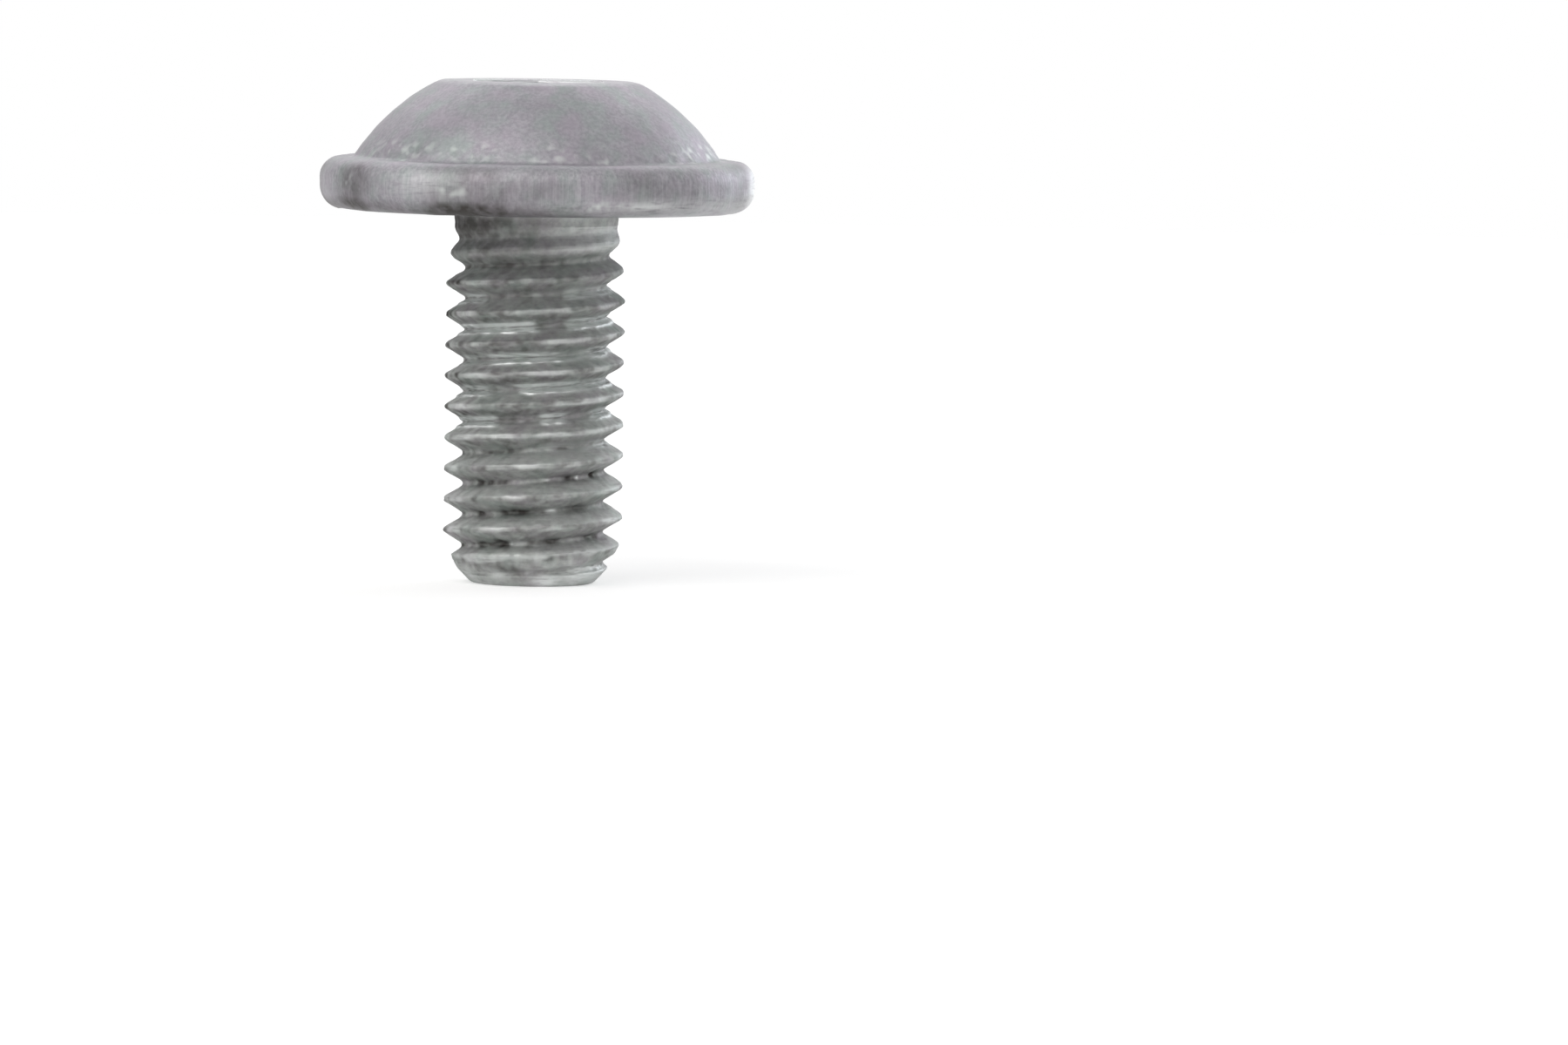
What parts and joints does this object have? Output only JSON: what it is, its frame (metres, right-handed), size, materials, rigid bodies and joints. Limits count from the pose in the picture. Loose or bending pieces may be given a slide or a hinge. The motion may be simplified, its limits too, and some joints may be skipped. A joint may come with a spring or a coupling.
{
  "type": "flanged button-head screw",
  "caption": "Flanged button-head machine screw with a hex socket and a right-hand coarse metric thread, in dull zinc-plated steel.",
  "frame": {"origin": "centre of the bearing face under the flange, on the screw's axis", "axes": "+Z along the screw's axis from the thread towards the head, with two corners of the hex socket along Y"},
  "size_m": [0.014, 0.014, 0.0163],
  "materials": {
    "zinc_steel": "dull zinc plate over rolled steel"
  },
  "bodies": {
    "root": {"screw": "zinc_steel"}
  },
  "joints": []
}
